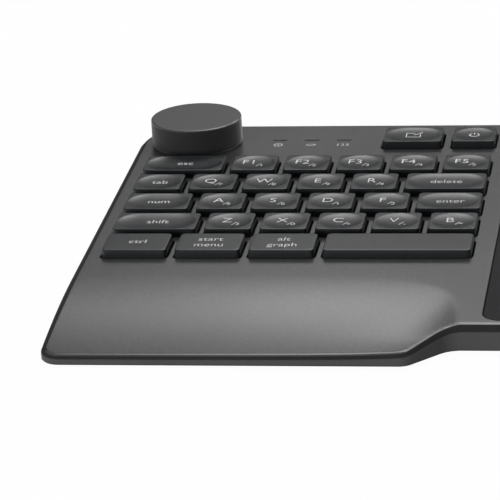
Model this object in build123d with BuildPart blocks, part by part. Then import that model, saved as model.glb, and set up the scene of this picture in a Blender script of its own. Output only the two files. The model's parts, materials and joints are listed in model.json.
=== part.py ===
"""Graphics tablet with a left-hand keyboard block, a dial and a sloping palm rest.

Frame: origin on the desk under the middle of the body, +X to the right, +Y to the back, +Z up.
Lengths are millimetres.
"""

import os
from math import atan, degrees, sqrt

from build123d import *

# Body
body_width = 418.0
body_depth = 200.0
body_height = 8.0
foot_height = 0.8
deck_wall = 1.6
side_wall = 4.0
cover_ledge = 2.0
cover_thickness = 1.5
cover_clearance = 0.15
edge_bevel = 2.1
foot_bevel = 0.25
dial_corner_radius = 21.0
body_corner_radius = 8.5
step_depth = 12.4
step_start = 109.5
step_run = 11.8
step_outer_radius = 5.5
step_inner_radius = 8.0
cut_overrun = 3.0
level_share = 0.9
upright_share = 0.1

# Palm rest: its gap to the keys, its right end from the left edge, and the upright strip left below its rim
palm_gap = 11.45
palm_end = 124.2
palm_land = 0.1
palm_crease = 2.2
crease_round_share = 0.42
palm_end_slope_share = 0.75
palm_margin = 6.0
palm_columns = 28
palm_rows = 14

# Keys
key_pitch = 17.88
key_gap = 1.9
wide_key = 27.85
medium_key = 21.45
tab_key_width = 16.75
number_key_width = 22.3
key_depth = 16.1
row_pitch = 18.9
key_rise = 2.6
key_taper = 0.5
key_corner_radius = 1.9
key_wall = 1.2
key_roof = 1.6
key_clearance = 0.45
opening_corner_cut = 1.1
dish_depth = 0.5
dish_rim = 0.5
keyboard_margin = 6.6
first_row_setback = 48.5
button_row_setback = 19.8
mode_button_width = 20.9
power_button_width = 15.35
button_gap = 2.7
flange_reach = 0.7
flange_thickness = 0.9
flange_gap = 0.1
stem_width = 8.4
stem_clearance = 0.1
stem_spread_share = 0.3
long_key_share = 2.0

# Key bed
backplate_thickness = 0.5
membrane_thickness = 0.3
dome_sheet_thickness = 0.3
dome_width = 8.0
dome_top_width = 4.0
dome_height = 1.8
guide_thickness = 1.0
bed_margin = 1.2
bed_gap = 2.0
tail_width = 12.0
tail_inset = 50.0
tail_overlap = 6.0

# Dial
dial_inset_x = 20.45
dial_inset_y = 20.1
dial_radius = 15.6
dial_height = 9.05
dial_gap = 0.4
dial_edge = 0.4
dial_wall = 2.0
dial_roof = 1.8
dial_hub_radius = 5.5
dial_hub_length = 4.5
shaft_radius = 3.0
shaft_fit = 0.04
shaft_seat = 0.01
shaft_grip = 3.0
encoder_width = 12.4
encoder_floor = 0.6
bush_radius = 3.5
bush_clearance = 0.1
bush_end = 0.4
nut_width = 10.0
nut_thickness = 1.8

# Status lights
light_length = 4.8
light_width = 1.2
light_pitch = 11.1
light_count = 3
light_inset = 48.9
light_setback = 17.8
light_clearance = 0.1
light_web = 1.0
light_web_margin = 1.5
led_length = 1.6
led_width = 0.8
led_height = 0.6

# Drawing pad and what lies under it
pad_inset = 130.25
pad_margin = 4.3
pad_thickness = 0.55
pad_recess = 0.7
pad_corner_radius = 6.0
pad_clearance = 0.1
sensor_margin = 5.0
sensor_thickness = 1.0
shield_thickness = 0.3
shield_setback = 10.0

# Control board, socket and battery
board_thickness = 1.2
board_rise = 0.8
board_margin = 1.0
socket_width = 8.94
socket_height = 3.26
socket_length = 7.4
socket_wall = 0.3
socket_inset = 60.0
socket_rise = 3.6
socket_recess = 0.5
socket_clearance = 0.2
tongue_width = 6.7
tongue_height = 0.7
tongue_length = 4.6
insert_thickness = 2.0
insert_clearance = 0.05
battery_length = 90.0
battery_width_share = 0.5
battery_thickness = 2.7
battery_corner_radius = 2.0
battery_inset = 8.0
battery_gap = 2.0
battery_headroom = 0.2
lead_width = 1.6
lead_thickness = 0.4
lead_overlap = 4.0
lead_clearance = 0.3
ribbon_width = 5.0
ribbon_thickness = 0.2
ribbon_overlap = 6.0
ribbon_setback = 6.8

# Feet, ribs and seats
foot_length = 44.0
foot_width = 8.0
foot_corner_radius = 3.5
foot_inset_x = 16.0
foot_inset_y = 14.0
rib_width = 1.2
rib_count = 5
board_seat_width = 5.0

# Levels
floor_z = foot_height
deck_z = floor_z + body_height
deck_under_z = deck_z - deck_wall
inner_floor_z = floor_z + cover_thickness
membrane_z = inner_floor_z + backplate_thickness
dome_sheet_z = membrane_z + membrane_thickness
guide_z = dome_sheet_z + dome_sheet_thickness
dome_top_z = guide_z + dome_height
key_top_z = deck_z + key_rise
key_roof_z = key_top_z - key_roof
key_side_z = deck_under_z - flange_gap
key_foot_z = key_side_z - flange_thickness
board_z = inner_floor_z + board_rise
board_top_z = board_z + board_thickness
sensor_z = deck_under_z - sensor_thickness
shield_z = sensor_z - shield_thickness
pad_z = deck_z - pad_recess
socket_z = floor_z + socket_rise
bush_top_z = deck_z + nut_thickness + bush_end
dial_z = deck_z + dial_gap
dial_top_z = dial_z + dial_height
dial_roof_z = dial_top_z - dial_roof
dial_hub_z = dial_roof_z - dial_hub_length
shaft_z = board_top_z + encoder_floor
shaft_top_z = dial_hub_z + shaft_grip

# Places in plan
left_x = -body_width / 2
right_x = body_width / 2
rear_y = body_depth / 2
front_y = -body_depth / 2
step_y = front_y + step_depth
keys_left_x = left_x + keyboard_margin
keys_width = wide_key + 5 * key_pitch
keys_right_x = keys_left_x + keys_width
power_left_x = keys_right_x - power_button_width
mode_left_x = power_left_x - button_gap - mode_button_width
first_row_y = rear_y - first_row_setback
last_row_y = first_row_y - 4 * row_pitch
palm_y = last_row_y - key_depth / 2 - palm_gap
palm_length = palm_y - front_y
palm_fall = body_height - edge_bevel - foot_bevel - palm_land
button_row_y = rear_y - button_row_setback
dial_x = left_x + dial_inset_x
dial_y = rear_y - dial_inset_y
lights_x = [left_x + light_inset + index * light_pitch for index in range(light_count)]
light_y = rear_y - light_setback
pad_left_x = left_x + pad_inset
pad_right_x = right_x - pad_margin
pad_rear_y = rear_y - pad_margin
pad_front_y = step_y + pad_margin
pad_middle = ((pad_left_x + pad_right_x) / 2, (pad_front_y + pad_rear_y) / 2)
pad_size = (pad_right_x - pad_left_x, pad_rear_y - pad_front_y)
sensor_left_x = pad_left_x + sensor_margin
sensor_right_x = pad_right_x - sensor_margin
sensor_rear_y = pad_rear_y - sensor_margin
sensor_front_y = pad_front_y + sensor_margin
shield_left_x = sensor_left_x + shield_setback
bed_left_x = keys_left_x + bed_margin
bed_right_x = keys_right_x + bed_margin
bed_front_y = last_row_y - key_depth / 2 - bed_gap
bed_rear_y = first_row_y + key_depth / 2 + bed_gap
tab_left_x = mode_left_x - bed_gap
tab_rear_y = button_row_y + key_depth / 2 + bed_gap
key_room_front_y = bed_front_y - bed_gap
board_left_x = left_x + side_wall + board_margin
board_right_x = tab_left_x - bed_gap
board_rear_y = rear_y - side_wall - board_margin
board_front_y = bed_rear_y + bed_gap
socket_x = left_x + socket_inset
socket_mouth_y = rear_y - socket_recess
socket_back_y = socket_mouth_y - socket_length
tail_x = left_x + tail_inset
ribbon_y = rear_y - ribbon_setback
battery_left_x = left_x + battery_inset
battery_right_x = battery_left_x + battery_length
battery_rear_y = key_room_front_y - side_wall - battery_gap
battery_width = battery_width_share * (battery_rear_y - front_y - side_wall)
battery_front_y = battery_rear_y - battery_width
battery_middle = ((battery_left_x + battery_right_x) / 2, (battery_front_y + battery_rear_y) / 2)
lead_x = left_x + side_wall + lead_clearance + lead_width / 2
lead_turn_y = battery_rear_y - lead_overlap
feet = [
    (left_x + foot_inset_x + foot_length / 2, front_y + foot_inset_y),
    (left_x + foot_inset_x + foot_length / 2, rear_y - foot_inset_y),
    (right_x - foot_inset_x - foot_length / 2, step_y + foot_inset_y),
    (right_x - foot_inset_x - foot_length / 2, rear_y - foot_inset_y),
]


def key_places():
    """Name, left edge, width, row centre and whether the top is dished, for every key."""
    cap = key_pitch - key_gap
    delete_width = keys_width - tab_key_width - key_gap - 4 * key_pitch
    enter_width = keys_width - number_key_width - key_gap - 4 * key_pitch
    space_width = keys_width - 3 * (medium_key + key_gap)
    number_row = [(name, cap) for name in ("key_1", "key_2", "key_3", "key_4", "key_5")]
    upper_row = [(name, cap) for name in ("q_key", "w_key", "e_key", "r_key")]
    home_row = [(name, cap) for name in ("a_key", "s_key", "d_key", "f_key")]
    lower_row = [(name, cap) for name in ("z_key", "x_key", "c_key", "v_key", "b_key")]
    modifiers = [(name, medium_key) for name in ("control_key", "start_key", "alt_key")]
    rows = [
        [("escape_key", wide_key)] + number_row,
        [("tab_key", tab_key_width)] + upper_row + [("delete_key", delete_width)],
        [("number_key", number_key_width)] + home_row + [("enter_key", enter_width)],
        [("shift_key", wide_key)] + lower_row,
        modifiers + [("space_key", space_width)],
    ]
    places = [
        ("mode_button", mode_left_x, mode_button_width, button_row_y, True),
        ("power_button", power_left_x, power_button_width, button_row_y, True),
    ]
    for index, row in enumerate(rows):
        edge = keys_left_x
        for name, width in row:
            places.append((name, edge, width, first_row_y - index * row_pitch, row is not rows[-1]))
            edge += width + key_gap
    return places


def stem_places(edge, width, row_y):
    """Plunger centres of one key; a long key has one near each end as well."""
    middle = edge + width / 2
    if width < long_key_share * key_pitch:
        return [(middle, row_y)]
    return [(middle + side * stem_spread_share * width, row_y) for side in (0, -1, 1)]


def palm_drop(x, y):
    """Depth of the palm rest below the deck: a slope to the front that blends into a rounded right end."""
    run = palm_y - y
    slope = palm_fall * run * abs(run) / palm_length**2
    end = palm_end_slope_share * (left_x + palm_end - x)
    return slope + end - sqrt(slope**2 + end**2 + palm_crease**2)


def palm_points():
    """Grid of points on the palm rest, taken past the edges of the body."""
    first_x = left_x - palm_margin
    last_x = left_x + palm_end + palm_margin / 2
    first_y = front_y - palm_margin
    last_y = palm_y + palm_margin
    points = []
    for column in range(palm_columns + 1):
        x = first_x + (last_x - first_x) * column / palm_columns
        line = []
        for row in range(palm_rows + 1):
            y = first_y + (last_y - first_y) * row / palm_rows
            line.append((x, y, deck_z - palm_drop(x, y)))
        points.append(line)
    return points


def body_plan(inset):
    """Plan of the body drawn in from its edge: a rounded slab whose front steps back at the drawing side."""
    corners = [
        (left_x, rear_y),
        (right_x, rear_y),
        (right_x, step_y),
        (left_x + step_start + step_run, step_y),
        (left_x + step_start, front_y),
        (left_x, front_y),
    ]
    radii = [dial_corner_radius] + 2 * [body_corner_radius] + [step_inner_radius, step_outer_radius, body_corner_radius]
    with BuildSketch() as plan:
        with BuildLine():
            FilletPolyline(*corners, radius=radii, close=True)
        make_face()
        if inset:
            offset(amount=-inset)
    return plan.sketch


def bed_plan():
    """Plan of the sheets under the keys, with a tab at the rear for the two buttons."""
    corners = [
        (bed_left_x, bed_front_y),
        (bed_right_x, bed_front_y),
        (bed_right_x, tab_rear_y),
        (tab_left_x, tab_rear_y),
        (tab_left_x, bed_rear_y),
        (bed_left_x, bed_rear_y),
    ]
    with BuildSketch() as plan:
        with BuildLine():
            Polyline(*corners, close=True)
        make_face()
    return plan.sketch


def slab(low, high):
    """Block between two opposite corners."""
    (low_x, low_y, low_z), (high_x, high_y, high_z) = low, high
    with BuildPart() as block:
        with BuildSketch(Plane(((low_x + high_x) / 2, (low_y + high_y) / 2, low_z))):
            Rectangle(high_x - low_x, high_y - low_y)
        extrude(amount=high_z - low_z)
    return block.part


def shared_edges(faces, others):
    """Edges that a face of the first group shares with one of the second."""
    return [edge for edge in faces.edges() if any(edge.is_same(other) for other in others.edges())]


def save(piece, label):
    """Name a finished piece and write it to its own file."""
    piece.label = label
    export_step(piece, f"parts/{label}.step")


os.makedirs("parts", exist_ok=True)
keys = key_places()
stems = [stem_places(edge, width, row_y) for name, edge, width, row_y, dished in keys]
all_stems = [place for places in stems for place in places]
outer_plan = body_plan(0)
ledge_plan = body_plan(cover_ledge)
room_plan = body_plan(side_wall)
cover_plan = body_plan(cover_ledge + cover_clearance)
sheet_plan = bed_plan()
palm_face = Face.make_surface_from_array_of_points(palm_points())

# Top cover: a tray that carries the deck, the palm rest and all openings
with BuildPart() as top_cover:
    with BuildSketch(Plane.XY.offset(floor_z)):
        add(outer_plan)
    extrude(amount=body_height)
    extrude(palm_face, amount=body_height + cut_overrun, dir=(0, 0, 1), mode=Mode.SUBTRACT)
    skins = top_cover.faces().filter_by(lambda face: face.normal_at().Z > level_share)
    fillet(shared_edges(skins[:1], skins[1:]), crease_round_share * palm_length)
    walls = top_cover.faces().filter_by(lambda face: abs(face.normal_at().Z) < upright_share)
    rim = walls.edges().filter_by(Axis.Z, reverse=True)
    chamfer(rim.filter_by_position(Axis.Z, inner_floor_z, deck_z), edge_bevel)
    chamfer(top_cover.faces().sort_by(Axis.Z)[0].edges(), foot_bevel)
    # Seat of the bottom cover
    with BuildSketch(Plane.XY.offset(floor_z)):
        add(ledge_plan)
    extrude(amount=cover_thickness, mode=Mode.SUBTRACT)
    # Room under the deck, room for the battery under the palm rest, and the way between them
    with BuildSketch(Plane.XY.offset(inner_floor_z)):
        add(room_plan)
        with Locations((left_x, front_y)):
            Rectangle(
                palm_end + side_wall,
                key_room_front_y - front_y,
                align=(Align.MIN, Align.MIN),
                mode=Mode.SUBTRACT,
            )
    extrude(amount=deck_under_z - inner_floor_z, mode=Mode.SUBTRACT)
    with BuildSketch(Plane((*battery_middle, inner_floor_z))):
        Rectangle(battery_length + 2 * battery_gap, battery_width + 2 * battery_gap)
    extrude(amount=battery_thickness + battery_headroom, mode=Mode.SUBTRACT)
    with BuildSketch(Plane((lead_x, lead_turn_y - lead_width, inner_floor_z))):
        Rectangle(
            lead_width + 2 * lead_clearance,
            key_room_front_y - lead_turn_y + lead_width,
            align=(Align.CENTER, Align.MIN),
        )
    extrude(amount=lead_thickness + lead_clearance, mode=Mode.SUBTRACT)
    # Openings in the deck
    with BuildSketch(Plane.XY.offset(deck_under_z)) as openings:
        for name, edge, width, row_y, dished in keys:
            with Locations((edge + width / 2, row_y)):
                Rectangle(width + 2 * key_clearance, key_depth + 2 * key_clearance)
        chamfer(openings.vertices(), opening_corner_cut)
        with Locations((dial_x, dial_y)):
            Circle(bush_radius + bush_clearance)
        with Locations([(x, light_y) for x in lights_x]):
            Rectangle(light_length + 2 * light_clearance, light_width + 2 * light_clearance)
    extrude(amount=deck_wall, mode=Mode.SUBTRACT)
    with BuildSketch(Plane((*pad_middle, pad_z))):
        RectangleRounded(*pad_size, pad_corner_radius)
    extrude(amount=pad_recess, mode=Mode.SUBTRACT)
    with BuildSketch(Plane.XZ.offset(-rear_y)):
        with Locations((socket_x, socket_z)):
            SlotOverall(socket_width + 2 * socket_clearance, socket_height + 2 * socket_clearance)
    extrude(amount=side_wall, mode=Mode.SUBTRACT)
save(top_cover.part, "top_cover")

# Bottom cover: a plate with ribs under the pad, and seats for the control board
rib_span = sensor_right_x - shield_left_x - 2 * rib_width
ribs = [
    (shield_left_x + rib_width + rib_span * index / (rib_count - 1), pad_middle[1])
    for index in range(rib_count)
]
seat_inset = board_seat_width / 2
board_seats = [
    (board_left_x + lead_width + lead_clearance + seat_inset, board_front_y + seat_inset),
    (board_right_x - seat_inset, board_front_y + seat_inset),
    (board_right_x - seat_inset, board_rear_y - seat_inset),
]
with BuildPart() as bottom_cover:
    with BuildSketch(Plane.XY.offset(floor_z)):
        add(cover_plan)
    extrude(amount=cover_thickness)
    with BuildSketch(Plane.XY.offset(inner_floor_z)):
        with Locations(ribs):
            Rectangle(rib_width, sensor_rear_y - sensor_front_y)
    extrude(amount=shield_z - inner_floor_z)
    with BuildSketch(Plane.XY.offset(inner_floor_z)):
        with Locations(board_seats):
            Rectangle(board_seat_width, board_seat_width)
    extrude(amount=board_rise)
save(bottom_cover.part, "bottom_cover")

# Rubber feet, glued under the bottom cover
with BuildPart() as rubber_feet:
    with BuildSketch():
        with Locations(feet):
            RectangleRounded(foot_length, foot_width, foot_corner_radius)
    extrude(amount=foot_height)
save(rubber_feet.part, "rubber_feet")

# Drawing pad with the sensor board and its shield below the deck
with BuildPart() as drawing_pad:
    with BuildSketch(Plane((*pad_middle, pad_z))):
        RectangleRounded(
            pad_size[0] - 2 * pad_clearance,
            pad_size[1] - 2 * pad_clearance,
            pad_corner_radius - pad_clearance,
        )
    extrude(amount=pad_thickness)
save(drawing_pad.part, "drawing_pad")
sensor_board = slab((sensor_left_x, sensor_front_y, sensor_z), (sensor_right_x, sensor_rear_y, deck_under_z))
save(sensor_board, "sensor_board")
sensor_shield = slab((shield_left_x, sensor_front_y, shield_z), (sensor_right_x, sensor_rear_y, sensor_z))
save(sensor_shield, "sensor_shield")

# Key bed: back plate, switch membrane with its tail, rubber domes and the plate that guides the plungers
with BuildPart() as key_backplate:
    with BuildSketch(Plane.XY.offset(inner_floor_z)):
        add(sheet_plan)
    extrude(amount=backplate_thickness)
save(key_backplate.part, "key_backplate")

with BuildPart() as key_membrane:
    with BuildSketch(Plane.XY.offset(membrane_z)):
        add(sheet_plan)
        with Locations((tail_x, bed_rear_y)):
            Rectangle(tail_width, bed_gap + tail_overlap, align=(Align.CENTER, Align.MIN))
    extrude(amount=membrane_thickness)
save(key_membrane.part, "key_membrane")

with BuildPart() as dome_sheet:
    with BuildSketch(Plane.XY.offset(dome_sheet_z)):
        add(sheet_plan)
    extrude(amount=dome_sheet_thickness)
    with BuildSketch(Plane.XY.offset(guide_z)):
        with Locations([places[0] for places in stems]):
            Rectangle(dome_width, dome_width)
    extrude(amount=dome_height, taper=degrees(atan((dome_width - dome_top_width) / 2 / dome_height)))
save(dome_sheet.part, "dome_sheet")

with BuildPart() as key_guide_plate:
    with BuildSketch(Plane.XY.offset(guide_z)):
        add(sheet_plan)
        with Locations(all_stems):
            Rectangle(stem_width + 2 * stem_clearance, stem_width + 2 * stem_clearance, mode=Mode.SUBTRACT)
    extrude(amount=guide_thickness)
save(key_guide_plate.part, "key_guide_plate")


def make_key(edge, width, row_y, dished):
    """Keycap on square plungers: tapered cap, hollow below, with a flange that holds it under the deck."""
    middle = edge + width / 2
    growth = key_taper * (deck_z - key_side_z) / key_rise
    with BuildPart() as key:
        with BuildSketch(Plane((middle, row_y, key_side_z))):
            Rectangle(width + 2 * growth, key_depth + 2 * growth)
        extrude(amount=key_top_z - key_side_z, taper=degrees(atan(key_taper / key_rise)))
        corners = key.edges().filter_by(lambda edge: abs(edge.tangent_at(0).Z) > upright_share)
        fillet(corners, key_corner_radius)
        if dished:
            half = width / 2 - key_taper - dish_rim
            radius = (half**2 + dish_depth**2) / (2 * dish_depth)
            with Locations((middle, row_y, key_top_z - dish_depth + radius)):
                Cylinder(radius, key_depth + 2 * cut_overrun, rotation=(90, 0, 0), mode=Mode.SUBTRACT)
        with BuildSketch(Plane((middle, row_y, key_foot_z))):
            Rectangle(width + 2 * flange_reach, key_depth + 2 * flange_reach)
        extrude(amount=flange_thickness)
        with BuildSketch(Plane((middle, row_y, key_foot_z))):
            Rectangle(width - 2 * key_wall, key_depth - 2 * key_wall)
        extrude(amount=key_roof_z - key_foot_z, mode=Mode.SUBTRACT)
        with BuildSketch(Plane.XY.offset(dome_top_z)):
            with Locations(stem_places(edge, width, row_y)):
                Rectangle(stem_width, stem_width)
        extrude(amount=key_roof_z - dome_top_z)
    return key.part


for name, edge, width, row_y, dished in keys:
    save(make_key(edge, width, row_y, dished), name)

# Dial: knob on the encoder shaft, encoder with its bush and nut
dial_plane = Plane((dial_x, dial_y, 0), x_dir=(1, 0, 0), z_dir=(0, -1, 0))
dial_axis = Axis((dial_x, dial_y, 0), (0, 0, 1))
grip_radius = shaft_radius + shaft_seat
skirt_radius = dial_radius - dial_wall
with BuildPart() as dial_knob:
    with BuildSketch(dial_plane):
        with BuildLine():
            Polyline(
                (grip_radius, dial_hub_z),
                (dial_hub_radius, dial_hub_z),
                (dial_hub_radius, dial_roof_z),
                (skirt_radius, dial_roof_z),
                (skirt_radius, dial_z),
                (dial_radius, dial_z),
                (dial_radius, dial_top_z - dial_edge),
                (dial_radius - dial_edge, dial_top_z),
                (0, dial_top_z),
                (0, shaft_top_z + shaft_seat),
                (grip_radius, shaft_top_z + shaft_seat),
                close=True,
            )
        make_face()
    revolve(axis=dial_axis)
save(dial_knob.part, "dial_knob")

with BuildPart() as dial_shaft:
    with BuildSketch(Plane((dial_x, dial_y, shaft_z))):
        Circle(shaft_radius)
    extrude(amount=shaft_top_z - shaft_z)
save(dial_shaft.part, "dial_shaft")

with BuildPart() as dial_encoder:
    with BuildSketch(Plane((dial_x, dial_y, board_top_z))):
        Rectangle(encoder_width, encoder_width)
    extrude(amount=deck_under_z - board_top_z)
    with BuildSketch(Plane((dial_x, dial_y, deck_under_z))):
        Circle(bush_radius)
    extrude(amount=bush_top_z - deck_under_z)
    with BuildSketch(Plane((dial_x, dial_y, shaft_z))):
        Circle(shaft_radius + shaft_fit)
    extrude(amount=bush_top_z - shaft_z, mode=Mode.SUBTRACT)
save(dial_encoder.part, "dial_encoder")

with BuildPart() as dial_nut:
    with BuildSketch(Plane((dial_x, dial_y, deck_z))):
        RegularPolygon(nut_width / 2, 6, major_radius=False)
        Circle(bush_radius + bush_clearance, mode=Mode.SUBTRACT)
    extrude(amount=nut_thickness)
save(dial_nut.part, "dial_nut")

# Control board with its status lights, socket and leads
board_corner_radius = dial_corner_radius - side_wall - board_margin
board_middle = ((board_left_x + board_right_x) / 2, (board_front_y + board_rear_y) / 2)
with BuildPart() as control_board:
    with BuildSketch(Plane.XY.offset(board_z)) as board_plan:
        with Locations(board_middle):
            Rectangle(board_right_x - board_left_x, board_rear_y - board_front_y)
        fillet(board_plan.vertices().sort_by_distance((board_left_x, board_rear_y))[0], board_corner_radius)
        with Locations((socket_x, socket_back_y - socket_clearance)):
            Rectangle(
                socket_width + 2 * socket_clearance,
                socket_length,
                align=(Align.CENTER, Align.MIN),
                mode=Mode.SUBTRACT,
            )
    extrude(amount=board_thickness)
save(control_board.part, "control_board")

with BuildPart() as status_leds:
    with BuildSketch(Plane.XY.offset(board_top_z)):
        with Locations([(x, light_y) for x in lights_x]):
            Rectangle(led_length, led_width)
    extrude(amount=led_height)
save(status_leds.part, "status_leds")

web_length = lights_x[-1] - lights_x[0] + light_length + 2 * light_web_margin
with BuildPart() as light_guide:
    with BuildSketch(Plane(((lights_x[0] + lights_x[-1]) / 2, light_y, deck_under_z - light_web))):
        Rectangle(web_length, light_width + 2 * light_web_margin)
    extrude(amount=light_web)
    with BuildSketch(Plane.XY.offset(deck_under_z)):
        with Locations([(x, light_y) for x in lights_x]):
            Rectangle(light_length, light_width)
    extrude(amount=deck_wall)
save(light_guide.part, "light_guide")

socket_plane = Plane((socket_x, socket_mouth_y, socket_z), x_dir=(1, 0, 0), z_dir=(0, -1, 0))
with BuildPart() as socket_shell:
    with BuildSketch(socket_plane):
        SlotOverall(socket_width, socket_height)
        SlotOverall(socket_width - 2 * socket_wall, socket_height - 2 * socket_wall, mode=Mode.SUBTRACT)
    extrude(amount=socket_length)
save(socket_shell.part, "socket_shell")

insert_gap = socket_wall + insert_clearance
with BuildPart() as socket_insert:
    with BuildSketch(socket_plane.offset(socket_length - insert_thickness)):
        SlotOverall(socket_width - 2 * insert_gap, socket_height - 2 * insert_gap)
    extrude(amount=insert_thickness)
    with BuildSketch(socket_plane.offset(socket_length - insert_thickness - tongue_length)):
        Rectangle(tongue_width, tongue_height)
    extrude(amount=tongue_length)
save(socket_insert.part, "socket_insert")

ribbon_plane = Plane((0, ribbon_y, 0), x_dir=(1, 0, 0), z_dir=(0, -1, 0))
with BuildPart() as sensor_ribbon:
    with BuildSketch(ribbon_plane):
        with BuildLine():
            Polyline(
                (board_right_x - ribbon_overlap, board_top_z),
                (board_right_x, board_top_z),
                (sensor_left_x, sensor_z - ribbon_thickness),
                (sensor_left_x + ribbon_overlap, sensor_z - ribbon_thickness),
                (sensor_left_x + ribbon_overlap, sensor_z),
                (sensor_left_x, sensor_z),
                (board_right_x, board_top_z + ribbon_thickness),
                (board_right_x - ribbon_overlap, board_top_z + ribbon_thickness),
                close=True,
            )
        make_face()
    extrude(amount=ribbon_width / 2, both=True)
save(sensor_ribbon.part, "sensor_ribbon")

with BuildPart() as battery:
    with BuildSketch(Plane((*battery_middle, inner_floor_z))):
        RectangleRounded(battery_length, battery_width, battery_corner_radius)
    extrude(amount=battery_thickness)
save(battery.part, "battery")

with BuildPart() as battery_lead:
    with BuildSketch(Plane.XY.offset(inner_floor_z)):
        with Locations((lead_x, lead_turn_y)):
            Rectangle(
                lead_width,
                board_front_y + lead_overlap - lead_turn_y,
                align=(Align.CENTER, Align.MIN),
            )
        with Locations((lead_x - lead_width / 2, lead_turn_y)):
            Rectangle(
                battery_left_x - lead_x + lead_width / 2,
                lead_width,
                align=(Align.MIN, Align.MAX),
            )
    extrude(amount=lead_thickness)
save(battery_lead.part, "battery_lead")
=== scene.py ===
"""Looks of the graphics tablet: covers, keycaps, dial, pad, marks and studio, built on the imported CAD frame.

Lengths are millimetres in the frame's axes (+X right, +Y back, +Z up) and become metres when a mesh is made.
"""

import json
from math import radians

import bmesh
import bpy
import numpy as np
from mathutils import Matrix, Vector
from mathutils.geometry import delaunay_2d_cdt

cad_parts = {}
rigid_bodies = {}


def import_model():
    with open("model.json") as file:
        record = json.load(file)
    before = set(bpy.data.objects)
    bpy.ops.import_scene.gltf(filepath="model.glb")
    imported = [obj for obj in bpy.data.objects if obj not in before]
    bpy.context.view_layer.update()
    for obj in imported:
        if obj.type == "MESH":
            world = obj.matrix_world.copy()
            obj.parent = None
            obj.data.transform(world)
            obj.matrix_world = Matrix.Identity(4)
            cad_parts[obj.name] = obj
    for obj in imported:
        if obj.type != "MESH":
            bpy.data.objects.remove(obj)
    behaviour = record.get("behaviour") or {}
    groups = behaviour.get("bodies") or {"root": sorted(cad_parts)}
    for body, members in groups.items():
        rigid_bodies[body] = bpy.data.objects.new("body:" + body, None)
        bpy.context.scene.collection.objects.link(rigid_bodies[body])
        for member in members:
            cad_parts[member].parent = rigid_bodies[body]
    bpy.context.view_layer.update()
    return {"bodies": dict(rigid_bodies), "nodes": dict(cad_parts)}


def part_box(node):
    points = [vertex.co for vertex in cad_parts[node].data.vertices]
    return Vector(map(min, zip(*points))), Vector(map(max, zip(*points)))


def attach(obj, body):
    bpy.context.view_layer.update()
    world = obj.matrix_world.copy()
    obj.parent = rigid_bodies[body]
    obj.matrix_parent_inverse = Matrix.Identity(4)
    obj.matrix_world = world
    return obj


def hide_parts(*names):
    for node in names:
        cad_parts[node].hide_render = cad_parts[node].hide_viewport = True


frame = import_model()
MM = 0.001
quarter = np.pi / 2
tiny = 1e-6


def node_box(node):
    """Lowest and highest corner of a CAD node in millimetres."""
    low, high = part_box(node)
    return np.array(low) / MM, np.array(high) / MM


# Body, read from the frame
(left_x, front_y, floor_z), (right_x, rear_y, deck_z) = node_box("top_cover")
deck_wall = 1.6
cover_ledge = 2.0
cover_rise = 1.5
cover_top_z = floor_z + cover_rise
foot_bevel = 0.4
dial_corner_radius = 19.0
body_corner_radius = 8.5
palm_corner_radius = 6.0
step_depth = 12.4
step_start = 109.5
step_run = 11.8
step_outer_radius = 5.5
step_inner_radius = 8.0
corner_points = 33
outline_pitch = 1.1

# Rim: a bevel that narrows along the palm rest, and a lip that is tighter on the left and right
edge_bevel = 2.1
palm_bevel = 1.0
bevel_turn = np.pi / 4
bevel_round = 0.5
bevel_points = 5
lip_round = 2.3
side_lip_round = 1.4
lip_points = 8
lip_margin = 0.6

# Rim finishes: how squarely a wall faces the front or rear for them to change, and the matt rows of its lip that
# are darkened as painted shade, more of them on the sides and rear
front_share = 0.5
lip_share = 0.85
front_shade_rows = 2
side_shade_rows = 6
rear_shade_rows = 7

# Palm rest
palm_start = 143.6
palm_y = rear_y - palm_start
palm_length = palm_y - front_y
palm_end = 124.84
palm_fall = 5.24
palm_crease = 1.207
palm_end_slope = 0.163
palm_end_curve = 0.012
palm_flare = 1.0
palm_flare_run = 48.4
palm_flare_blend = 4.0
palm_blend = 0.05
palm_grid = 1.3
palm_border = 8.0
plan_precision = 1e-5
inside_triangles = 1

# Openings in the deck, with the points of each kind of ring
opening_round = 0.1
opening_margin = 0.15
opening_points = 4
key_opening_points = 64
bush_hole_radius = 3.6
bush_hole_points = 48
light_opening_points = 40
pad_points = 1200
socket_gap = 0.2
socket_depth = 6.0
socket_overrun = 1.0
socket_points = 48

# Keys: a wide key is one and a half times as wide as deep, and the dish has rings at shares of its reach
flange_reach = 0.7
key_rise = 2.6
key_taper = 0.5
key_base_inset = 0.27
key_corner_radius = 1.5
key_edge_round = 0.22
key_edge_points = 7
key_slit = 0.2
key_depth_below = 2.0
key_points = 112
wide_key_points = 144
wide_key_ratio = 1.5
key_sharp_angle = 40.0
dish_depth = 0.33
dish_rim = 0.65
dish_power = 3
dish_shares = (1.03, 1.0, 0.985, 0.96, 0.92, 0.86, 0.79, 0.71, 0.62, 0.52, 0.42, 0.31, 0.2, 0.1, tiny)
dish_border_shares = (0.15, 0.5)
flat_top_shares = np.linspace(0.08, 1, 6)
key_foot_share = 1e-4
flat_keys = ("control_key", "start_key", "alt_key", "space_key")
keys = [body for body in frame["bodies"] if body not in ("case", "dial")]

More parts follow.
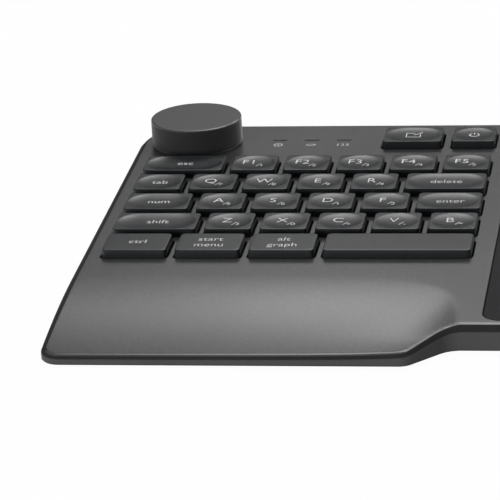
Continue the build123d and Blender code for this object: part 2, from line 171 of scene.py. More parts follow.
# Printed marks: sizes, and places from the middle of a key
mark_lift = 0.015
letter_thinning = 0.009
letter_curve_points = 6
letter_size = 5.4
word_size = 4.3
small_size = 3.2
word_place = (0.3, -1.2)
upper_place = (0, 0.9)
lower_place = (0, -4.1)
letter_x = -1.1
letter_y = -0.4
letter_shift = -0.7
slash_path = [(-0.7, -1.2), (0.7, 1.2)]
slash_width = 0.22
slash_place = (1.5, -1.5)
second_place = (2.6, -3.2)
sign_width = 0.4
mode_frame_path = [(2.4, 0.6), (2.4, -2.0), (-2.4, -2.0), (-2.4, 2.0), (0.4, 2.0)]
mode_pen_path = [(0.2, 0.2), (3.0, 2.6)]
power_arc_radius = 1.6
power_arc_start = 120
power_arc_end = 420
power_bar_path = [(0, 0.4), (0, 2.2)]
single_words = {"escape_key": "esc", "tab_key": "tab", "number_key": "num", "shift_key": "shift",
                "control_key": "ctrl", "enter_key": "enter", "delete_key": "delete"}
double_words = {"start_key": ("start", "menu"), "alt_key": ("alt", "graph")}
second_signs = dict(zip("qwerasdfzxcvb", "7894561230+-*"))

# Status lights and the signs under them
light_length = 4.8
light_width = 1.2
light_corner_radius = 0.25
light_count = 3
light_pitch = 11.1
light_inset_x = 48.9
light_inset_y = 17.8
light_x = left_x + light_inset_x
light_y = rear_y - light_inset_y
light_sign_drop = 5.0
ring_sign_radius = 1.4
ring_sign_width = 0.28
ring_sign_points = 33
ring_dot_path = [(-0.3, 0), (0.3, 0)]
ring_dot_width = 0.6
cell_path = [(1.3, 0.7), (-1.3, 0.7), (-1.3, -0.7), (1.3, -0.7), (1.3, 0.7)]
cell_width = 0.3
cell_tip_path = [(0, -0.35), (0, 0.35)]
cell_tip_width = 0.4
cell_tip_x = 1.75
digits_drop = 1.1

# Dial
dial_round = 0.45
dial_wall = 2.0
dial_roof = 1.8
dial_flat_inset = 1.2
dial_edge_points = 7
dial_points = 160

# Pad, feet and screws
pad_recess = 0.7
pad_corner_radius = 6.0
pad_gap = 0.1
pad_edge_round = 0.12
film_inset = 0.25
pad_mark_reach = 6.0
pad_mark_inset = 9.0
pad_mark_width = 0.5
foot_length = 44.0
foot_width = 8.0
foot_front_inset = 14.0
foot_corner_radius = 3.5
foot_edge_round = 0.2
foot_points = 64
screw_inset = 9.0
screw_spread = 72.0
screw_radius = 2.0
screw_height = 0.5
screw_seat = 0.05
screw_dome_power = 4
screw_rings = 24
screw_points = 96
screw_sharp_angle = 50.0
cross_length = 1.4
cross_half = 0.3
cross_slope = 0.12
cross_depth = 0.7

# Mesh making: distances in metres under which points are welded and slivers go, and the usual sharp angle
weld_distance = 2e-7
sliver_distance = 1e-7
sharp_angle = 34.0

# Materials: the part of a noise that is used, grain of moulded plastic, streaks of metal, tracks of a board
noise_low = 0.3
noise_high = 0.7
grain_depth = 0.02
grain_detail = 3
grain_gloss_share = 0.08
mottle_size = 18.0
mottle_detail = 4
sheen_roughness = 0.3
streak_size = 0.6
streak_detail = 3
streak_stretch = (0.08, 1, 1)
streak_tint_share = 0.06
streak_gloss_share = 0.2
track_scale = 120.0
track_width = 0.03
track_shade = 0.85
board_roughness = 0.35

# Studio in metres and degrees: for each lamp its heading from straight behind to the right, its rise above the
# floor, width, height, brightness, and whether reflections show it
floor_half = 8.0
floor_shade = 0.85
floor_glow_share = 0.97
surround_level = 0.14
lamp_target = (-0.1, -0.05, 0.0)
lamp_distance = 3.0
lamps = {
    "back_softbox": (13.75, 33.7, 2.33, 0.49, 3.2, True),
    "left_softbox": (-12.75, 33.7, 0.55, 0.49, 2.4, True),
    "low_strip": (13.0, 27.0, 2.7, 0.19, 1.3, True),
    "top_softbox": (20.0, 64.5, 2.2, 1.6, 4.2, True),
    "front_card": (215.0, 9.0, 1.3, 0.9, 28.0, False),
    "right_card": (58.0, 3.0, 2.0, 0.8, 26.0, False),
}

# Camera, fitted to the photograph's key rows, dial and edges: place, turn to the left, tip down and roll
camera_place = (-3.99, -968.17, 366.27)
camera_turns = (9.129, 20.510, -3.213)
camera_lens = 233.69
camera_sensor = 36.0


# Meshes

def put_mesh(name, points, faces, body, materials, sharp=sharp_angle, finishes=None):
    """Closed mesh from points in millimetres, welded, turned outwards, shaded smooth up to the sharp angle.

    finishes gives the place in materials for each face, where a piece has more than one.
    """
    mesh = bpy.data.meshes.new(name)
    mesh.from_pydata((np.asarray(points) * MM).tolist(), [], faces)
    if finishes is not None:
        mesh.polygons.foreach_set("material_index", finishes)
    work = bmesh.new()
    work.from_mesh(mesh)
    bmesh.ops.remove_doubles(work, verts=work.verts, dist=weld_distance)
    bmesh.ops.dissolve_degenerate(work, edges=work.edges, dist=sliver_distance)
    bmesh.ops.recalc_face_normals(work, faces=work.faces)
    work.to_mesh(mesh)
    work.free()
    mesh.polygons.foreach_set("use_smooth", np.ones(len(mesh.polygons), bool))
    mesh.set_sharp_from_angle(angle=radians(sharp))
    for material in materials:
        mesh.materials.append(material)
    piece = bpy.data.objects.new(name, mesh)
    bpy.context.scene.collection.objects.link(piece)
    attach(piece, body)
    return piece


def grid_faces(rows, columns, start=0):
    """Quads of a grid whose columns close on themselves."""
    row, column = np.meshgrid(np.arange(rows - 1), np.arange(columns), indexing="ij")
    onward = (column + 1) % columns
    quads = np.stack([row * columns + column, row * columns + onward,
                      (row + 1) * columns + onward, (row + 1) * columns + column], axis=-1)
    return (quads.reshape(-1, 4) + start).tolist()


def join_grids(grids):
    """One list of points and faces for several ring grids of shape (rows, columns, 3)."""
    points, faces, start = [], [], 0
    for grid in grids:
        rows, columns = grid.shape[:2]
        points.append(grid.reshape(-1, 3))
        faces += grid_faces(rows, columns, start)
        start += rows * columns
    return np.concatenate(points), faces


def resample(loop, count):
    """Closed loop of points at even steps along its length."""
    closed = np.vstack([loop, loop[:1]])
    along = np.concatenate([[0], np.cumsum(np.hypot(*np.diff(closed, axis=0).T))])
    at = np.linspace(0, along[-1], count, endpoint=False)
    return np.stack([np.interp(at, along, closed[:, 0]), np.interp(at, along, closed[:, 1])], axis=1)


def rounded_ring(half_x, half_y, radius, count, arc_points=17):
    """Rounded rectangle about the origin, from the middle of the right side.

    Four quarter arcs about the inner corners, then even steps along the whole.
    """
    turns = (np.linspace(0, quarter, arc_points) + np.arange(4)[:, None] * quarter).ravel()
    inner_x = (half_x - radius) * np.repeat([1, -1, -1, 1], arc_points)
    inner_y = (half_y - radius) * np.repeat([1, 1, -1, -1], arc_points)
    arcs = np.stack([inner_x + radius * np.cos(turns), inner_y + radius * np.sin(turns)], axis=1)
    return resample(np.vstack([[half_x, 0], arcs]), count)


def unit_ring(count):
    """Points of a circle of radius one about the origin."""
    around = np.linspace(0, 2 * np.pi, count, endpoint=False)
    return np.stack([np.cos(around), np.sin(around)], axis=1)


def stack_rings(rings, heights):
    """Grid of shape (rows, columns, 3) from flat rings and the height of each."""
    rings = np.asarray(rings)
    heights = np.broadcast_to(np.asarray(heights, float).reshape(len(rings), -1), rings.shape[:2])
    return np.concatenate([rings, heights[..., None]], axis=2)


def rounded_plate(centre, half, radius, low, high, edge, count, edge_points=5, margin=3):
    """Plate with rounded corners: quarter-round profile at both rims, closed towards the middle line.

    A flat ring, margin edge radii in from the side, keeps the faces of the rim narrow.
    """
    turn = np.linspace(0, quarter, edge_points)
    flat = [half[1], margin * edge]
    insets = np.concatenate([flat, edge * (1 - np.sin(turn)), edge * (1 - np.sin(turn[::-1])), flat[::-1]])
    heights = np.concatenate([[low, low], low + edge * (1 - np.cos(turn)),
                              high - edge * (1 - np.cos(turn[::-1])), [high, high]])
    rings = [rounded_ring(half[0] - inset, half[1] - inset, max(radius - inset, 0), count) + centre
             for inset in insets]
    return stack_rings(rings, heights)


# Materials

def start_material(name):
    """Empty node material and its shader."""
    material = bpy.data.materials.new(name)
    material.use_nodes = True
    nodes = material.node_tree.nodes
    return material, nodes, material.node_tree.links, nodes["Principled BSDF"]


def add_noise(nodes, links, size, detail):
    """Noise on object coordinates whose features are about the given size in millimetres."""
    coords = nodes.new("ShaderNodeTexCoord")
    noise = nodes.new("ShaderNodeTexNoise")
    noise.inputs["Scale"].default_value = 1 / (size * MM)
    noise.inputs["Detail"].default_value = detail
    links.new(coords.outputs["Object"], noise.inputs["Vector"])
    return noise


def add_range(nodes, links, value, low, high):
    """The given value, spread over its useful middle, mapped to low and high."""
    spread = nodes.new("ShaderNodeMapRange")
    spread.inputs["From Min"].default_value = noise_low
    spread.inputs["From Max"].default_value = noise_high
    spread.inputs["To Min"].default_value = low
    spread.inputs["To Max"].default_value = high
    links.new(value, spread.inputs["Value"])
    return spread.outputs["Result"]


def add_waver(nodes, links, value, middle, share):
    """Number that wavers about its middle by the given share with a noise value."""
    return add_range(nodes, links, value, middle * (1 - share), middle * (1 + share))


def add_tint(nodes, links, value, colour, share):
    """Colour that wavers by the given share with a noise value."""
    tint = nodes.new("ShaderNodeMix")
    tint.data_type = "RGBA"
    tint.inputs["A"].default_value = (*[part * (1 - share) for part in colour], 1)
    tint.inputs["B"].default_value = (*[part * (1 + share) for part in colour], 1)
    links.new(add_range(nodes, links, value, 0, 1), tint.inputs["Factor"])
    return tint.outputs["Result"]


def moulded(name, colour, roughness, grain, relief, mottle=0.05, gloss=0.5, sheen=0.0):
    """Moulded plastic: fine eroded grain in the bump, slightly uneven colour and gloss."""
    material, nodes, links, shader = start_material(name)
    fine = add_noise(nodes, links, grain, grain_detail)
    broad = add_noise(nodes, links, mottle_size, mottle_detail)
    links.new(add_tint(nodes, links, broad.outputs["Fac"], colour, mottle), shader.inputs["Base Color"])
    uneven = add_waver(nodes, links, fine.outputs["Fac"], roughness, grain_gloss_share)
    links.new(uneven, shader.inputs["Roughness"])
    bump = nodes.new("ShaderNodeBump")
    bump.inputs["Strength"].default_value = relief
    bump.inputs["Distance"].default_value = grain_depth * MM
    links.new(fine.outputs["Fac"], bump.inputs["Height"])
    links.new(bump.outputs["Normal"], shader.inputs["Normal"])
    shader.inputs["Specular IOR Level"].default_value = gloss
    shader.inputs["Sheen Weight"].default_value = sheen
    shader.inputs["Sheen Roughness"].default_value = sheen_roughness
    return material


def metal(name, colour, roughness):
    """Rolled or plated metal: streaks along X in the gloss."""
    material, nodes, links, shader = start_material(name)
    streaks = add_noise(nodes, links, streak_size, streak_detail)
    stretch = nodes.new("ShaderNodeMapping")
    stretch.inputs["Scale"].default_value = streak_stretch
    links.new(streaks.inputs["Vector"].links[0].from_socket, stretch.inputs["Vector"])
    links.new(stretch.outputs["Vector"], streaks.inputs["Vector"])
    value = streaks.outputs["Fac"]
    links.new(add_tint(nodes, links, value, colour, streak_tint_share), shader.inputs["Base Color"])
    links.new(add_waver(nodes, links, value, roughness, streak_gloss_share), shader.inputs["Roughness"])
    shader.inputs["Metallic"].default_value = 1.0
    return material


def circuit(name, colour, track):
    """Circuit board: solder resist over a net of paler tracks."""
    material, nodes, links, shader = start_material(name)
    coords = nodes.new("ShaderNodeTexCoord")
    net = nodes.new("ShaderNodeTexBrick")
    net.inputs["Scale"].default_value = track_scale
    net.inputs["Mortar Size"].default_value = track_width
    net.inputs["Color1"].default_value = (*colour, 1)
    net.inputs["Color2"].default_value = (*[part * track_shade for part in colour], 1)
    net.inputs["Mortar"].default_value = (*track, 1)
    links.new(coords.outputs["Object"], net.inputs["Vector"])
    links.new(net.outputs["Color"], shader.inputs["Base Color"])
    shader.inputs["Roughness"].default_value = board_roughness
    return material


# Name, colour, roughness, grain size in millimetres and relief of each moulded finish
case_plastic = moulded("case_plastic", (0.046, 0.046, 0.0464), 0.27, 0.16, 0.06)
lip_plastic = moulded("lip_plastic", (0.046, 0.046, 0.0464), 0.22, 0.16, 0.06, gloss=0.8)
# Matt, and darker than the case plastic as painted shade: laid on the foot bevel, the bevel, the lower lip rows
# and the pad recess's wall
painted_shade_plastic = moulded("painted_shade_plastic", (0.02, 0.02, 0.0203), 0.9, 0.16, 0.10, gloss=0.1)
side_plastic = moulded("side_plastic", (0.047, 0.047, 0.0474), 0.5, 0.16, 0.06, gloss=0.15)
base_plastic = moulded("base_plastic", (0.022, 0.0222, 0.0228), 0.5, 0.3, 0.35)
key_plastic = moulded("key_plastic", (0.0115, 0.0130, 0.0145), 0.25, 0.12, 0.05, gloss=0.42)
dial_plastic = moulded("dial_plastic", (0.037, 0.037, 0.0373), 0.3, 0.14, 0.08)
dial_edge_plastic = moulded("dial_edge_plastic", (0.034, 0.034, 0.0343), 0.22, 0.14, 0.08, gloss=1.0)
# The dial's side: its colour is darker than the top's as painted shade, while its sheen is a real response to the
# lamps
dial_side_shade_plastic = moulded("dial_side_shade_plastic", (0.018, 0.018, 0.0183), 0.55, 0.14, 0.08, gloss=0.15, sheen=0.8)
pad_film = moulded("pad_film", (0.0090, 0.0096, 0.0100), 0.6, 0.22, 0.4, mottle=0.08, gloss=0.12)
foot_rubber = moulded("foot_rubber", (0.018, 0.018, 0.018), 0.75, 0.25, 0.4)
dome_rubber = moulded("dome_rubber", (0.55, 0.55, 0.52), 0.5, 0.4, 0.15)
inner_plastic = moulded("inner_plastic", (0.02, 0.02, 0.021), 0.45, 0.25, 0.2)
flat_film = moulded("flat_film", (0.42, 0.25, 0.07), 0.25, 0.6, 0.05)
light_window = moulded("light_window", (0.012, 0.012, 0.016), 0.4, 0.3, 0.02, gloss=0.1)
mark_paint = moulded("mark_paint", (0.75, 0.75, 0.76), 0.5, 0.2, 0.1, mottle=0.04)
corner_paint = moulded("corner_paint", (0.10, 0.10, 0.105), 0.5, 0.2, 0.1, mottle=0.04)
steel = metal("steel", (0.5, 0.5, 0.51), 0.35)
screw_steel = metal("screw_steel", (0.12, 0.12, 0.125), 0.35)
foil = metal("foil", (0.6, 0.6, 0.62), 0.5)
board = circuit("board", (0.01, 0.06, 0.03), (0.03, 0.13, 0.07))

node_finish = {
    "bottom_cover": base_plastic, "sensor_board": board, "sensor_shield": steel, "key_backplate": steel,
    "key_membrane": flat_film, "dome_sheet": dome_rubber, "key_guide_plate": inner_plastic, "dial_shaft": steel,
    "dial_encoder": inner_plastic, "dial_nut": steel, "control_board": board, "status_leds": mark_paint,
    "light_guide": light_window, "socket_shell": steel, "socket_insert": inner_plastic,
    "sensor_ribbon": flat_film, "battery": foil, "battery_lead": inner_plastic,
}
for node, finish in node_finish.items():
    frame["nodes"][node].data.materials.clear()
    frame["nodes"][node].data.materials.append(finish)


# Top cover

def deck_height(x, y):
    """Deck level less the palm rest's fall: a parabola to the front, run out by a second one at its right end.

    The right end flares out to the right near the front edge. The two parabolas are joined by a hyperbola, which
    leaves a curved crease where they reach the deck, and the result blends into the level deck over a short width.
    """
    run = palm_y - y
    past = run - palm_flare_run
    flare = palm_flare * (past + np.sqrt(past**2 + palm_flare_blend**2)) / 2
    side_run = left_x + palm_end + flare - x
    slope = palm_fall * run * np.abs(run) / palm_length**2
    end = palm_end_slope * side_run + palm_end_curve * side_run * np.abs(side_run)
    drop = slope + end - np.sqrt(slope**2 + end**2 + palm_crease**2)
    return deck_z - (drop + np.sqrt(drop**2 + palm_blend**2)) / 2


def shell_underside(x, y):
    """Inner face of the shell, kept above the bottom cover."""
    return np.maximum(deck_height(x, y) - deck_wall, cover_top_z + opening_round)


def body_outline():
    """Plan of the body: straight runs joined by tangent arcs, at even steps, counter-clockwise."""
    step_y = front_y + step_depth
    step_x = left_x + step_start
    corners = np.array([(left_x, front_y), (step_x, front_y), (step_x + step_run, step_y),
                        (right_x, step_y), (right_x, rear_y), (left_x, rear_y)])
    radii = [palm_corner_radius, step_outer_radius, step_inner_radius,
             body_corner_radius, body_corner_radius, dial_corner_radius]
    loop = []
    for corner, radius, before, after in zip(corners, radii, np.roll(corners, 1, 0), np.roll(corners, -1, 0)):
        back = (before - corner) / np.linalg.norm(before - corner)
        onward = (after - corner) / np.linalg.norm(after - corner)
        half = np.arccos(back @ onward) / 2
        centre = corner + (back + onward) / np.linalg.norm(back + onward) * radius / np.sin(half)
        first, last = [corner + way * radius / np.tan(half) - centre for way in (back, onward)]
        sweep = np.arctan2(first[0] * last[1] - first[1] * last[0], first @ last)
        turns = np.arctan2(first[1], first[0]) + np.linspace(0, sweep, corner_points)
        loop.append(centre + radius * np.stack([np.cos(turns), np.sin(turns)], axis=1))
    loop = np.vstack(loop)
    length = np.hypot(*np.diff(np.vstack([loop, loop[:1]]), axis=0).T).sum()
    return resample(loop, int(length / outline_pitch))


def inward(loop):
    """Unit normals to the left of a counter-clockwise loop."""
    along = np.roll(loop, -1, 0) - np.roll(loop, 1, 0)
    along /= np.linalg.norm(along, axis=1)[:, None]
    return np.stack([-along[:, 1], along[:, 0]], axis=1)


def within(points, loop):
    """Whether each point lies inside a loop, by counting the loop's edges to its right."""
    x, y = points[:, :1], points[:, 1:]
    (ax, ay), (bx, by) = loop.T, np.roll(loop, -1, 0).T
    with np.errstate(divide="ignore", invalid="ignore"):
        crossed = ((ay > y) != (by > y)) & (x < ax + (y - ay) * (bx - ax) / (by - ay))
    return crossed.sum(axis=1) % 2 == 1


def ring_distance(points, centre, half, radius):
    """Signed distance of points to a rounded rectangle, negative inside."""
    away = np.abs(points - centre) - np.asarray(half) + radius
    return np.linalg.norm(np.maximum(away, 0), axis=1) + np.minimum(away.max(axis=1), 0) - radius


def deck_openings():
    """Centre, half size, corner radius, depth and point count of every opening in the deck.

    The pad's comes last and is a recess, the others go through the wall.
    """
    openings = []
    for key in keys:
        low, high = node_box(key)
        half = (high - low)[:2] / 2 - flange_reach + key_slit
        radius = key_corner_radius + key_slit / 2
        openings.append(((low + high)[:2] / 2, half, radius, deck_wall, key_opening_points))
    low, high = node_box("dial_nut")
    half = np.full(2, bush_hole_radius)
    openings.append(((low + high)[:2] / 2, half, bush_hole_radius, deck_wall, bush_hole_points))
    for index in range(light_count):
        centre = np.array([light_x + index * light_pitch, light_y])
        half = np.array([light_length, light_width]) / 2 + pad_gap
        openings.append((centre, half, light_corner_radius, deck_wall, light_opening_points))
    low, high = node_box("drawing_pad")
    half = (high - low)[:2] / 2 + pad_gap
    openings.append(((low + high)[:2] / 2, half, pad_corner_radius, pad_recess, pad_points))
    return openings


def opening_wall(centre, half, radius, depth, count):
    """Wall of an opening: a quarter-round edge and a straight drop, then a ring back out under the deck."""
    turn = np.linspace(0, quarter, opening_points)
    grow = np.concatenate([[opening_round + opening_margin], opening_round * (1 - np.sin(turn)), [0]])
    heights = np.concatenate([[deck_z], deck_z - opening_round * (1 - np.cos(turn)), [deck_z - depth]])
    if depth == deck_wall:
        grow = np.append(grow, grow[0])
        heights = np.append(heights, deck_z - deck_wall)
    rings = [rounded_ring(*(half + more), radius + more, count) + centre for more in grow]
    return stack_rings(rings, heights)


def rim_rings(outline, normals):
    """Rim profile carried round the outline: a rounded 45-degree bevel and a lip, both hung from the deck."""
    low_turn = np.linspace(0, bevel_turn, bevel_points)[:, None]
    lip_turn = np.linspace(bevel_turn, quarter, lip_points)[:, None]
    fall = (deck_z - deck_height(*(outline + edge_bevel * normals).T)) / palm_fall
    bevel = edge_bevel + (palm_bevel - edge_bevel) * fall
    wall_drop = bevel + bevel_round * np.tan(bevel_turn / 2)
    lip = side_lip_round + (lip_round - side_lip_round) * np.abs(normals[:, 1])
    lip_inset = bevel + lip * np.tan(bevel_turn / 2)
    level = np.zeros((1, len(outline)))
    insets = np.concatenate([bevel_round * (1 - np.cos(low_turn)) + level, lip_inset - lip * np.cos(lip_turn),
                             lip_inset + lip_margin + level])
    drops = np.concatenate([wall_drop - bevel_round * np.sin(low_turn), lip * (1 - np.sin(lip_turn)), level])
    rim = outline + insets[..., None] * normals
    return np.concatenate([rim, (deck_height(rim[..., 0], rim[..., 1]) - drops)[..., None]], axis=2)


def deck_triangles(loops, openings):
    """Plan of the deck in triangles: its edge, the openings' rims and a fine grid of points over the palm rest."""
    edge = loops[0]
    spots = np.stack(np.meshgrid(np.arange(left_x, left_x + palm_end + palm_border, palm_grid),
                                 np.arange(front_y, palm_y + palm_border, palm_grid)), axis=-1).reshape(-1, 2)
    spots = spots[within(spots, edge)]
    clear = np.linalg.norm(spots[:, None] - edge, axis=2).min(axis=1) > palm_grid / 2
    plan = np.vstack(loops + [spots[clear]])
    ends = np.cumsum([0] + [len(loop) for loop in loops])
    edges = [(first + step, first + (step + 1) % (last - first))
             for first, last in zip(ends[:-1], ends[1:]) for step in range(last - first)]
    corners, _, triangles, *_ = delaunay_2d_cdt(plan.tolist(), edges, [], inside_triangles, plan_precision)
    corners = np.array([tuple(corner) for corner in corners])
    triangles = np.array(triangles)
    middles = corners[triangles].mean(axis=1)
    solid = np.ones(len(triangles), bool)
    for centre, half, radius, *_ in openings:
        solid &= ring_distance(middles, centre, half + opening_round + opening_margin, radius) > 0
    return corners, triangles[solid]


def make_top_cover():
    """Moulded shell: a rim profile carried round the outline, a deck over a triangulated plan, and opening walls.

    Finishes by row: side walls, foot bevel, bevel and lower lip matt and darkened as painted shade (more lip rows
    on the sides and rear), glossy lip to the front, and deck; the pad recess's wall is darkened as painted shade
    too.
    """
    outline = body_outline()
    normals = inward(outline)
    rim = rim_rings(outline, normals)
    edge = rim[-1, :, :2]
    foot = stack_rings([outline + cover_ledge * normals, outline + foot_bevel * normals, outline],
                       [floor_z, floor_z, floor_z + foot_bevel])
    inner = np.concatenate([edge, shell_underside(*edge.T)[:, None]], axis=1)[None]
    openings = deck_openings()
    walls = [opening_wall(*opening) for opening in openings]
    recess = walls[-1]
    points, faces = join_grids([np.concatenate([inner, foot, rim])] + walls)
    wall_end = len(faces)
    for floor in (recess[-1], recess[0] - (0, 0, deck_wall)):
        faces.append(list(range(len(points), len(points) + len(floor))))
        points = np.vstack([points, floor])
    corners, triangles = deck_triangles([edge] + [wall[0, :, :2] for wall in walls], openings)
    for height in (deck_height, shell_underside):
        faces += (triangles + len(points)).tolist()
        points = np.vstack([points, np.column_stack([corners, height(*corners.T)])])

    deck_finish, painted_shade_finish, side_finish, lip_finish = range(4)
    finishes = np.full(len(faces), deck_finish)
    bevel_row = len(inner) + len(foot) + bevel_points - 1
    rows = finishes[:(bevel_row + lip_points) * len(outline)].reshape(-1, len(outline))
    rows[:bevel_row] = side_finish
    # Painted shade: the foot bevel, the bevel and the lower lip rows take the dark finish, more lip rows on the
    # sides and rear
    rows[len(foot) - 1] = painted_shade_finish
    rows[bevel_row] = painted_shade_finish
    shade_rows = np.where(normals[:, 1] < front_share, side_shade_rows, front_shade_rows)
    shade_rows = np.where(normals[:, 1] < -front_share, rear_shade_rows, shade_rows)
    upper_finish = np.where(normals[:, 1] > lip_share, lip_finish, deck_finish)
    lip_rows = np.arange(lip_points - 1)[:, None]
    rows[bevel_row + 1:] = np.where(lip_rows < shade_rows, painted_shade_finish, upper_finish)
    # Painted shade on the pad recess's wall, which reads as a dark gap round the pad
    finishes[wall_end - pad_points:wall_end + 1] = painted_shade_finish
    cover = put_mesh("top_cover_shell", points, faces, "case",
                     (case_plastic, painted_shade_plastic, side_plastic, lip_plastic), finishes=finishes)
    cut_socket(cover)
    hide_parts("top_cover")


def cut_socket(cover):
    """Cut the cable socket's slot through the rear wall."""
    low, high = node_box("socket_shell")
    half = (high - low)[[0, 2]] / 2 + socket_gap
    ring = rounded_ring(*half, half[1], socket_points)
    middle = (low + high) / 2
    slot = np.stack([np.column_stack([middle[0] + ring[:, 0], np.full(socket_points, y), middle[2] + ring[:, 1]])
                     for y in (rear_y - socket_depth, rear_y + socket_overrun)])
    points, faces = join_grids([slot])
    faces += np.arange(2 * socket_points).reshape(2, -1).tolist()
    cutter = put_mesh("socket_slot", points, faces, "case", (case_plastic,))
    cut = cover.modifiers.new("socket", "BOOLEAN")
    cut.object = cutter
    cut.solver = "EXACT"
    shape = bpy.data.meshes.new_from_object(cover.evaluated_get(bpy.context.evaluated_depsgraph_get()))
    cover.modifiers.clear()
    cover.data = shape
    bpy.data.objects.remove(cutter)


make_top_cover()


# Keycaps and their printed marks

def key_plan(key):
    """Centre, half size at deck level and top height of a key, read from its CAD node without the flange."""
    low, high = node_box(key)
    return (low + high)[:2] / 2, (high - low)[:2] / 2 - flange_reach, high[2]


def dish_reach(half):
    """Radius of the finger dish of a key with the given half size."""
    return half.min() - key_taper - dish_rim


def dish(offset, half):
    """Depth of the finger dish: one less the cube of the way to its rim, drawn out into a capsule on wide keys."""
    straight = max(half[0] - half[1], 0)
    away = np.hypot(np.maximum(np.abs(offset[..., 0]) - straight, 0), offset[..., 1])
    return dish_depth * np.maximum(1 - (away / dish_reach(half))**dish_power, 0)


def make_keycap(key):
    """Tapered cap: outline rings up the side and over a rounded edge, then into the dish or to the middle line."""
    centre, half, top = key_plan(key)
    count = key_points if half[0] < wide_key_ratio * half[1] else wide_key_points
    turn = np.linspace(0, quarter, key_edge_points)
    heights = np.concatenate([[deck_z - key_depth_below, deck_z], top - key_edge_round * (1 - np.sin(turn))])
    insets = key_base_inset + (key_taper - key_base_inset) * np.maximum(heights - deck_z, 0) / key_rise
    insets[-key_edge_points:] += key_edge_round * (1 - np.cos(turn))
    rings = [rounded_ring(*(half - inset), key_corner_radius, count) for inset in insets]
    rim = rings[-1]
    middle = np.array([max(half[0] - half[1], 0), max(half[1] - half[0], 0)])
    if key in flat_keys:
        line = rounded_ring(*(middle + tiny), 0, count)
        inner = [rim * (1 - share) + line * share for share in flat_top_shares]
    else:
        reach = dish_reach(half)
        bowl = [rounded_ring(*(middle + reach * share), reach * share, count) for share in dish_shares]
        inner = [rim * (1 - share) + bowl[0] * share for share in dish_border_shares] + bowl
    grid = stack_rings(rings + inner, np.concatenate([heights, np.full(len(inner), top)]))
    if key not in flat_keys:
        grid[len(insets):, :, 2] -= dish(grid[len(insets):, :, :2], half)
    foot = grid[:1] * (key_foot_share, key_foot_share, 1)
    grid = np.concatenate([foot, grid]) + (*centre, 0)
    points, faces = join_grids([grid])
    cap = put_mesh(f"{key}_cap", points, faces, key, (key_plastic,), key_sharp_angle)
    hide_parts(key)


def letters(text, size):
    """Points and faces of a word, flat and centred on the origin, in millimetres."""
    curve = bpy.data.curves.new("word", "FONT")
    curve.body = text
    curve.size = size
    curve.offset = -letter_thinning * size
    curve.align_x = "CENTER"
    curve.resolution_u = letter_curve_points
    word = bpy.data.objects.new("word", curve)
    bpy.context.scene.collection.objects.link(word)
    bpy.context.view_layer.update()
    mesh = bpy.data.meshes.new_from_object(word.evaluated_get(bpy.context.evaluated_depsgraph_get()))
    flat = np.zeros(len(mesh.vertices) * 3)
    mesh.vertices.foreach_get("co", flat)
    faces = [list(face.vertices) for face in mesh.polygons]
    bpy.data.objects.remove(word)
    bpy.data.curves.remove(curve)
    bpy.data.meshes.remove(mesh)
    return flat.reshape(-1, 3)[:, :2], faces


def stroke(path, width):
    """Flat ribbon of even width along a path."""
    path = np.asarray(path, float)
    along = np.gradient(path, axis=0)
    along /= np.linalg.norm(along, axis=1)[:, None]
    across = np.stack([-along[:, 1], along[:, 0]], axis=1) * width / 2
    points = np.vstack([path + across, path - across])
    count = len(path)
    return points, [[at, at + 1, count + at + 1, count + at] for at in range(count - 1)]


def arc(radius, first, last, count=24):
    """Points of a circular arc about the origin between two angles in degrees."""
    turn = np.radians(np.linspace(first, last, count))
    return radius * np.stack([np.cos(turn), np.sin(turn)], axis=1)


def gather(marks):
    """One list of points and faces for marks given as (points, faces, offset)."""
    points, faces, start = [], [], 0
    for spots, loops, offset in marks:
        points.append(np.asarray(spots) + offset)
        faces += [[start + corner for corner in loop] for loop in loops]
        start += len(spots)
    return np.vstack(points), faces


def print_marks(name, marks, centre, height, body, paint):
    """Printed marks laid on a surface: height gives its level at each point, measured from the centre."""
    points, faces = gather(marks)
    level = height(points) + mark_lift
    mesh = bpy.data.meshes.new(name)
    mesh.from_pydata((np.column_stack([points + centre, level]) * MM).tolist(), [], faces)
    work = bmesh.new()
    work.from_mesh(mesh)
    for face in work.faces:
        face.normal_update()
        if face.normal.z < 0:
            face.normal_flip()
    work.to_mesh(mesh)
    work.free()
    mesh.materials.append(paint)
    piece = bpy.data.objects.new(name, mesh)
    bpy.context.scene.collection.objects.link(piece)
    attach(piece, body)


def word_mark(text, size, place):
    """A word centred at a place on its key."""
    return *letters(text, size), place


def stroke_mark(path, width, place=(0, 0)):
    """A drawn line placed on its key."""
    return *stroke(path, width), place


def letter_marks(letter, second):
    """Main letter at the upper left of the middle, a thin slash and a small second sign to its lower right."""
    place = (letter_x + letter_shift * (len(letter) - 1), letter_y)
    return [word_mark(letter, letter_size, place), stroke_mark(slash_path, slash_width, slash_place),
            word_mark(second, small_size, second_place)]


def key_marks(key):
    """Marks of one key; the space key has none."""
    if key in single_words:
        return [word_mark(single_words[key], word_size, word_place)]
    if key in double_words:
        upper, lower = double_words[key]
        return [word_mark(upper, word_size, upper_place), word_mark(lower, word_size, lower_place)]
    if key.startswith("key_"):
        return letter_marks("F" + key[-1], key[-1])
    if key == "mode_button":
        return [stroke_mark(path, sign_width) for path in (mode_frame_path, mode_pen_path)]
    if key == "power_button":
        power_arc_path = arc(power_arc_radius, power_arc_start, power_arc_end)
        return [stroke_mark(path, sign_width) for path in (power_arc_path, power_bar_path)]
    if key == "space_key":
        return []
    return letter_marks(key[0].upper(), second_signs[key[0]])


def key_surface(key):
    """Function that gives the level of a key's top at points measured from its centre."""
    _, half, top = key_plan(key)
    if key in flat_keys:
        return lambda at: np.full(len(at), top)
    return lambda at: top - dish(at, half)


for key in keys:
    make_keycap(key)
    marks = key_marks(key)
    if marks:
        print_marks(f"{key}_mark", marks, key_plan(key)[0], key_surface(key), key, mark_paint)


# Signs under the status lights

def deck_level(points):
    """Level of the flat deck."""
    return np.full(len(points), deck_z)


